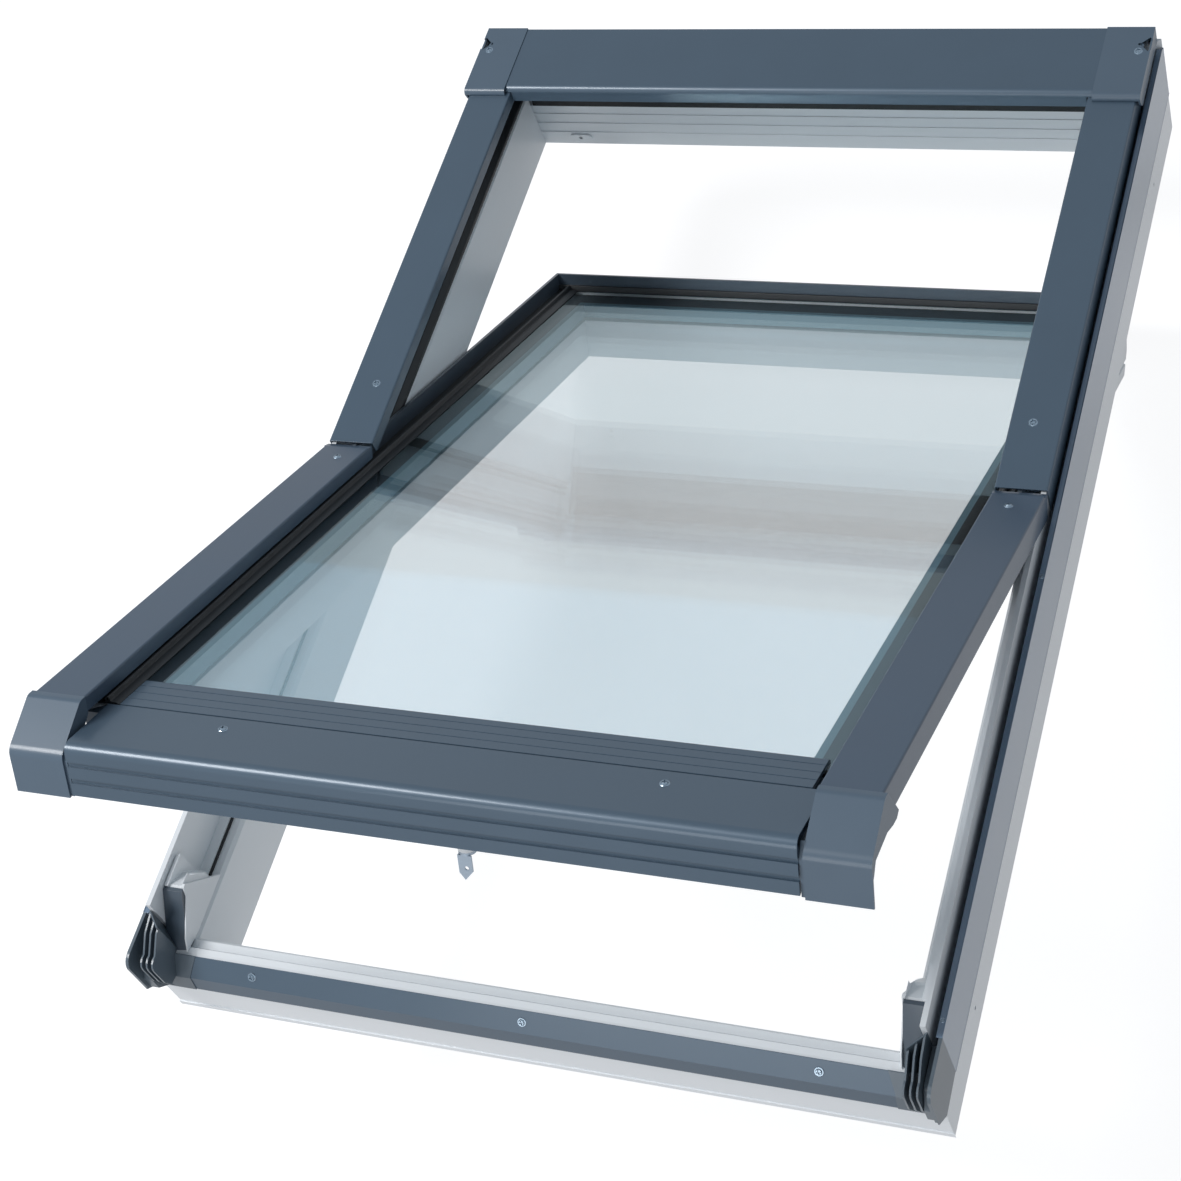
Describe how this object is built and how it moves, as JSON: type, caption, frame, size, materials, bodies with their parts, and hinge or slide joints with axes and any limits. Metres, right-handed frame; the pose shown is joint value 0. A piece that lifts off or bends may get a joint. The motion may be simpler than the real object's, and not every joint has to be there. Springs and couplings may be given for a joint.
{
  "type": "roof_window",
  "caption": "Centre-pivot roof window with a double-glazed sash, a white frame, blue-grey metal covers and hood, corner caps and a room-side latch, shown half open",
  "frame": {"origin": "centre of the back plane of the fixed frame, where the frame rests on the roof structure", "axes": "+X across the window to the right as seen from outside, +Y up the roof slope, +Z outward, away from the roof"},
  "size_m": [0.7808, 1.1948, 0.6319],
  "materials": {
    "frame_white": "smooth white extruded plastic, satin gloss",
    "cladding_paint": "blue-grey painted aluminium sheet, satin",
    "cover_paint": "blue-grey painted aluminium, satin",
    "cap_plastic": "blue-grey moulded plastic, slightly lighter than the covers",
    "grey_plastic": "mid grey moulded plastic",
    "white_plastic": "white moulded plastic",
    "seal_rubber": "black sealing rubber",
    "pane_glass": "clear float glass with a faint blue-green edge",
    "spacer_metal": "dull aluminium spacer bar",
    "zinc_steel": "zinc-plated pressed steel",
    "screw_steel": "dark coated screw heads"
  },
  "bodies": {
    "frame": {"frame_rail_left": "frame_white", "frame_rail_right": "frame_white", "frame_rail_top": "frame_white", "frame_rail_bottom": "frame_white", "side_cladding_left": "cladding_paint", "side_cladding_right": "cladding_paint", "bottom_cladding": "cladding_paint", "upper_seal": "seal_rubber", "ledge_seal": "seal_rubber", "upper_cover_left": "cover_paint", "upper_cover_right": "cover_paint", "frame_cover_clips": "grey_plastic", "hood": "cover_paint", "hood_cap_left": "cap_plastic", "hood_cap_right": "cap_plastic", "corner_baffle_left": "grey_plastic", "corner_baffle_right": "grey_plastic", "ramp_block_left": "grey_plastic", "ramp_block_right": "grey_plastic", "guide_left": "white_plastic", "guide_right": "white_plastic", "hinge_track_left": "zinc_steel", "hinge_track_right": "zinc_steel", "keeper": "zinc_steel", "top_bolt_bush": "white_plastic", "cover_screws": "screw_steel", "cladding_screws": "screw_steel", "hood_screws": "screw_steel", "track_screws": "zinc_steel"},
    "sash": {"sash_stile_left": "frame_white", "sash_stile_right": "frame_white", "sash_top_rail": "frame_white", "sash_bottom_rail": "frame_white", "sash_rim": "seal_rubber", "outer_pane": "pane_glass", "inner_pane": "pane_glass", "spacer_bar": "spacer_metal", "edge_seal": "seal_rubber", "side_gasket_left": "seal_rubber", "side_gasket_right": "seal_rubber", "top_gasket": "seal_rubber", "sash_cover_left": "cover_paint", "sash_cover_right": "cover_paint", "sash_cover_clips": "grey_plastic", "glazing_strip": "cover_paint", "sash_cap": "cover_paint", "corner_cap_left": "cap_plastic", "corner_cap_right": "cap_plastic", "hinge_shoe_left": "zinc_steel", "hinge_shoe_right": "zinc_steel", "sash_screws": "screw_steel", "lock_case": "white_plastic"},
    "handle": {"lock_spindle": "zinc_steel", "handle_lever": "white_plastic", "latch_tongue": "zinc_steel"}
  },
  "joints": [
    {"name": "sash_pivot", "type": "hinge", "parent": "frame", "child": "sash", "pos_m": [0, -0.01, 0.1475], "axis": [-1, 0, 0], "range_deg": [-30.4, 129.6]},
    {"name": "handle_turn", "type": "hinge", "parent": "sash", "child": "handle", "pos_m": [0, -0.50727, 0.31171], "axis": [0, 0.506, 0.8625], "range_deg": [0, 90]}
  ]
}
